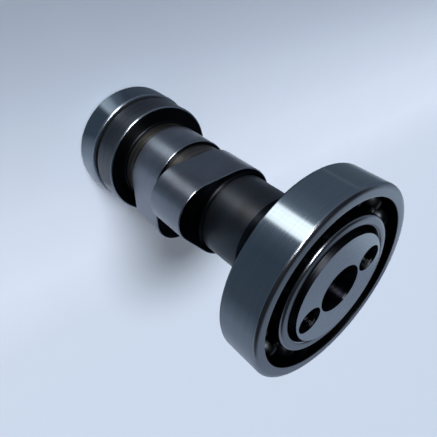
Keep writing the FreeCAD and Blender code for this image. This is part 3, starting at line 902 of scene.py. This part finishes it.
# %% How a card glows
def card_glow(name, stops):
    """A glow that follows the direction. stops are (angle, colour) pairs."""
    first, last = stops[0][0], stops[-1][0]
    cloth, nodes, links, surface = new_material(name)
    apart = nodes.new("ShaderNodeSeparateXYZ")
    links.new(nodes.new("ShaderNodeTexCoord").outputs["Object"], apart.inputs[0])
    across, deep, _ = apart.outputs
    # the angle is measured from the card's middle, so its jump from 180 to -180 lies opposite the card
    middle = math.radians((first + last) / 2)
    cos, sin = math.cos(middle), math.sin(middle)
    ahead = math_node(nodes, links, "ADD", math_node(nodes, links, "MULTIPLY", across, cos),
                      math_node(nodes, links, "MULTIPLY", deep, sin))
    aside = math_node(nodes, links, "SUBTRACT", math_node(nodes, links, "MULTIPLY", deep, cos),
                      math_node(nodes, links, "MULTIPLY", across, sin))
    turn = math_node(nodes, links, "ARCTAN2", aside, ahead)
    share = math_node(nodes, links, "DIVIDE", turn, math.radians(last - first))
    share = math_node(nodes, links, "ADD", share, 0.5)
    tones = ramp(nodes, links, share, [((angle - first) / (last - first), colour) for angle, colour in stops])
    links.new(tones, surface.inputs["Emission Color"])
    surface.inputs["Emission Strength"].default_value = 1.0
    surface.inputs["Base Color"].default_value = (0, 0, 0, 1)
    surface.inputs["Specular IOR Level"].default_value = 0.0
    return cloth


def card(name, path, stops):
    """A glowing sheet beside the part that only reflections see."""
    mesh = card_mesh(name, path, stops[0][0], stops[-1][0])
    mesh.materials.append(card_glow(name, stops))
    sheet = bpy.data.objects.new(name, mesh)
    bpy.context.scene.collection.objects.link(sheet)
    sheet.visible_camera = sheet.visible_diffuse = sheet.visible_shadow = False
    print("card", name, "from", stops[0][0], "to", stops[-1][0], "degrees")


# %% Cards low on the floor
NIGHT = (0.10, 0.125, 0.17)
card("card by the flange", ((21, 0.15), (26, 0.15)), [
    (-14, SOFT), (10, DUSK), (30, NIGHT), (78, NIGHT), (90, (0.16, 0.19, 0.24)), (104, DUSK),
    (108, DARK), (134, DARK), (142, DIM), (152, SOFT), (170, PALE), (200, DIM)])
card("card by the small ring", ((15.1, 0.15), (21, 0.15)), [
    (-14, SOFT), (10, DUSK), (30, NIGHT), (74, NIGHT), (86, DIM), (92, (0.75, 0.85, 0.95)),
    (99, (1.0, 1.1, 1.2)), (104, DUSK), (108, DARK), (134, DARK), (142, DIM), (152, SOFT),
    (170, PALE), (200, DIM)])
card("card by the low cam", ((30, 0.5), (46, 0.5)), [
    (-14, DUSK), (20, (0.12, 0.15, 0.20)), (66, (0.12, 0.15, 0.20)), (76, DIM), (82, (1.9, 2.1, 2.2)),
    (96, (1.9, 2.1, 2.2)), (101, DIM), (106, DUSK), (124, DARK), (150, DIM)])
card("card by the high cam", ((46, 0.5), (72, 0.5)), [
    (-14, DUSK), (20, (0.16, 0.20, 0.26)), (86, (0.16, 0.20, 0.26)), (94, DIM), (98, (0.9, 1.0, 1.1)),
    (104, (0.9, 1.0, 1.1)), (108, DIM), (113, DUSK), (128, DARK), (150, DIM)])

# %% [markdown]
# ## Cards for the shaft and the large ring
#
# The shaft and the large ring stand higher, so what they mirror lies further out on the floor. The
# ring's card bends up into a wall, and it draws the bright band with fine lines down the side of the
# ring. Two more walls stand over it: one carries the bright band further up, and one keeps the side
# next to it dark.

# %% Cards further out
card("card by the shaft", ((72, 0.5), (108, 0.5)), [
    (-50, DARK), (20, DUSK), (66, DUSK), (74, SOFT), (80, (0.85, 0.95, 1.05)), (94, (0.85, 0.95, 1.05)),
    (100, DIM), (106, DUSK), (124, DARK), (190, DIM), (240, DIM)])
card("card by the large ring", ((108, 0.5), (150, 0.5), (150, 150)), [
    (-50, PALE), (-20, DUSK), (15, (0.165, 0.205, 0.265)), (17, (0.30, 0.35, 0.42)),
    (19, (0.17, 0.21, 0.27)), (54, (0.19, 0.235, 0.30)), (72, DIM), (79, (0.5, 0.58, 0.68)),
    (81, BRIGHT), (84, LESS), (86, BRIGHT), (89, LESS), (91, BRIGHT), (94, LESS), (96, BRIGHT),
    (98, DIM), (112, DUSK), (124, DARK), (178, (0.13, 0.165, 0.215)), (205, (0.36, 0.41, 0.51)),
    (240, (0.36, 0.41, 0.51)), (300, (0.2, 0.23, 0.3))])
card("wall over the strip", ((150, 150), (150, 300), (70, 400)), [(84, BRIGHT), (97, BRIGHT)])
card("wall over the dark side", ((150, 120), (150, 300)), [(98, BLACK), (190, BLACK)])

# %% [markdown]
# ## Lamp
#
# One lamp lights the floor and drops the soft shadow beside the shaft. It is a sun with a wide disc,
# as a window or a softbox a few metres away would be, because a small lamp would draw a hard shadow.
# It also puts the small sharp lights on the rounded edges.

# %% Lamp
LAMP_TURN, LAMP_LIFT = math.radians(90), math.radians(54)
sun = bpy.data.objects.new("key", bpy.data.lights.new("key", "SUN"))
sun.data.energy = 2.9
sun.data.angle = math.radians(20)
level = math.cos(LAMP_LIFT)
to_lamp = Vector((math.cos(LAMP_TURN) * level, math.sin(LAMP_TURN) * level, math.sin(LAMP_LIFT)))
sun.rotation_euler = to_lamp.to_track_quat("Z", "Y").to_euler()
bpy.context.scene.collection.objects.link(sun)
print("lamp towards:", [round(c, 3) for c in to_lamp])

# %% [markdown]
# ## World
#
# The room gives a dim even fill. What the steel mirrors of it is another matter: near the horizon it
# is pale, which makes the nose and the ring faces grey, and overhead it is dark, which keeps the
# rounded corners black. An image of a room would do this too, but a ramp by height needs no file.

# %% World
FILL, HORIZON = (0.28, 0.28, 0.28), (0.60, 0.67, 0.78)
world = bpy.data.worlds.new("studio")
bpy.context.scene.world = world
world.use_nodes = True
nodes, links = world.node_tree.nodes, world.node_tree.links
path = nodes.new("ShaderNodeLightPath")
seen = math_node(nodes, links, "MAXIMUM", path.outputs["Is Camera Ray"], path.outputs["Is Glossy Ray"])
seen = math_node(nodes, links, "MAXIMUM", seen, path.outputs["Is Transmission Ray"])
toward_sky = nodes.new("ShaderNodeTexCoord").outputs["Generated"]
height_part = nodes.new("ShaderNodeSeparateXYZ")
links.new(toward_sky, height_part.inputs[0])
room = ramp(nodes, links, height_part.outputs[2], [
    (0.0, HORIZON), (0.22, HORIZON), (0.32, (0.50, 0.57, 0.68)), (0.46, (0.16, 0.18, 0.22)),
    (0.65, (0.03, 0.033, 0.04))])
links.new(mixed(nodes, links, seen, FILL, room), nodes["Background"].inputs["Color"])
print("fill:", FILL, "horizon:", HORIZON)

# %% [markdown]
# ## Camera
#
# The camera's place, direction and lens were worked out from the bearings' circles, whose sizes are
# standard. It looks down on the nose, and it is rolled, so the shaft runs from the upper left of the
# picture to the lower right. Placing it by eye would get one circle right and the others wrong. The
# small shift is there because the picture is a crop.

# %% Camera
CAMERA_AT = Vector((-30.04, 78.55, 102.02)) * MM
right = Vector((0.72449, -0.26504, 0.63629))
up = Vector((0.63065, 0.62748, -0.45668))
back = Vector((-0.27822, 0.73214, 0.62175))
camera = bpy.data.objects.new("camera", bpy.data.cameras.new("camera"))
bpy.context.scene.collection.objects.link(camera)
camera.matrix_world = Matrix.Translation(CAMERA_AT) @ Matrix((right, up, back)).transposed().to_4x4()
camera.data.lens = 38.107
camera.data.sensor_width = 36.0
camera.data.shift_x = 0.0186
camera.data.shift_y = -0.05
camera.data.clip_start = 0.005
bpy.context.scene.camera = camera
bpy.context.scene.view_settings.view_transform = "Standard"
print("camera in mm:", [round(c / MM, 2) for c in camera.location], "lens:", round(camera.data.lens, 2))
